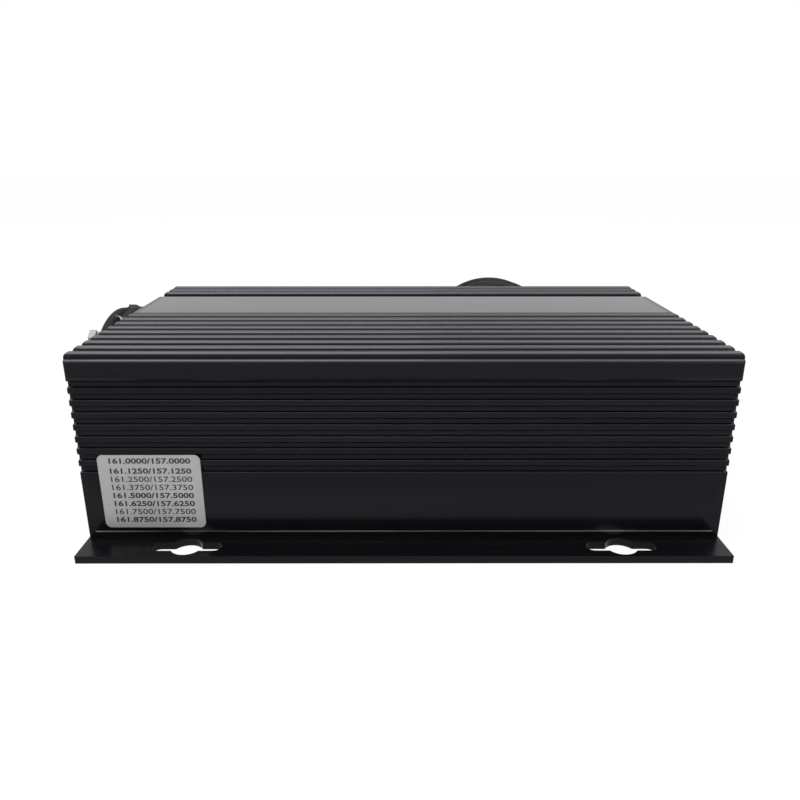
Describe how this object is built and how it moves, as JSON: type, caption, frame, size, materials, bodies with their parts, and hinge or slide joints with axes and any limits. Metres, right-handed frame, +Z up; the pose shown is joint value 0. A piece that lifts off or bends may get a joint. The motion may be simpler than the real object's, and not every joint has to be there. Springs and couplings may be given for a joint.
{
  "type": "rf trunk amplifier",
  "caption": "Ribbed black extruded radio amplifier housing on a flanged keyhole base, with a numbered channel dial, rocker switch, coaxial jacks and two tied coils of lead.",
  "frame": {"origin": "centre of the underside of the base plate", "axes": "+X along the housing towards the jacks, -Y towards the labelled front, +Z up"},
  "size_m": [0.2563, 0.1866, 0.0632],
  "materials": {
    "black_anodised": "satin anodised",
    "black_screw": "black zinc",
    "silver_film": "silver printed film",
    "board_green": "solder mask",
    "plated_brass": "plated",
    "steel": "zinc plated",
    "plain_aluminium": "milled",
    "satin_aluminium": "satin",
    "gold_plate": "gold plated",
    "tinned_steel": "tinned",
    "ferrite": "ferrite",
    "iron_powder": "coated iron powder",
    "ceramic": "ceramic",
    "relay_case": "moulded",
    "capacitor_sleeve": "shrink sleeve",
    "black_plastic": "moulded",
    "terminal_plastic": "moulded",
    "fuse_plastic": "moulded",
    "wire_skin": "pvc",
    "nickel_plate": "nickel plated",
    "white_insulator": "fluoropolymer",
    "knob_plastic": "moulded",
    "rocker_plastic": "moulded",
    "lamp_lens": "tinted lens",
    "black_rubber": "moulded",
    "lead_jacket": "pvc jacket",
    "clear_nylon": "natural nylon",
    "dark_nylon": "black nylon",
    "clear_plastic": "clear polycarbonate"
  },
  "bodies": {
    "housing": {"base_plate": "black_anodised", "cover_shell": "black_anodised", "left_end_plate": "black_anodised", "right_end_plate": "black_anodised", "left_plate_screws": "black_screw", "right_plate_screws": "black_screw", "channel_label": "silver_film", "main_board": "board_green", "board_pillars": "plated_brass", "board_screws": "steel", "pillar_screws": "black_screw", "heat_spreader": "plain_aluminium", "spreader_screws": "black_screw", "power_transistors": "gold_plate", "transistor_screws": "steel", "shield_can": "tinned_steel", "output_transformer": "ferrite", "filter_coils": "iron_powder", "channel_filters": "tinned_steel", "trimmer_capacitors": "ceramic", "antenna_relay": "relay_case", "storage_capacitors": "capacitor_sleeve", "control_chips": "black_plastic", "supply_terminal": "terminal_plastic", "fuse_holder": "black_plastic", "supply_fuse": "fuse_plastic", "supply_wires": "wire_skin", "jack_cables": "wire_skin", "antenna_jack": "nickel_plate", "radio_jack": "nickel_plate", "jack_insulators": "white_insulator", "jack_contacts": "gold_plate", "jack_nuts": "nickel_plate", "jack_washers": "nickel_plate", "selector_switch": "steel", "selector_nut": "nickel_plate", "dial_plate": "satin_aluminium", "control_board": "board_green", "control_board_pillars": "plated_brass", "indicator_lamps": "lamp_lens", "lamp_bezels": "nickel_plate", "switch_housing": "black_plastic", "switch_blades": "plated_brass", "power_lead_boot": "black_rubber", "boot_locknut": "black_plastic", "power_lead_coil": "lead_jacket", "power_lead_tail": "lead_jacket", "power_plug": "black_plastic", "power_plug_pins": "plated_brass", "clear_coil_tie": "clear_nylon", "dark_coil_ties": "dark_nylon", "control_lead_bush": "black_rubber", "control_lead_start": "lead_jacket", "control_lead_coil": "lead_jacket", "control_lead_tail": "lead_jacket", "control_plug": "clear_plastic"},
    "selector": {"selector_shaft": "steel", "selector_knob": "knob_plastic", "knob_set_screw": "black_screw"},
    "rocker": {"switch_rocker": "rocker_plastic"}
  },
  "joints": [
    {"name": "selector_turn", "type": "hinge", "parent": "housing", "child": "selector", "pos_m": [0.1, 0, 0.034], "axis": [1, 0, 0], "range_deg": [-90, 120]},
    {"name": "power_rocker", "type": "hinge", "parent": "housing", "child": "rocker", "pos_m": [0.1, -0.034, 0.032], "axis": [0, -1, 0], "range_deg": [0, 20]}
  ]
}
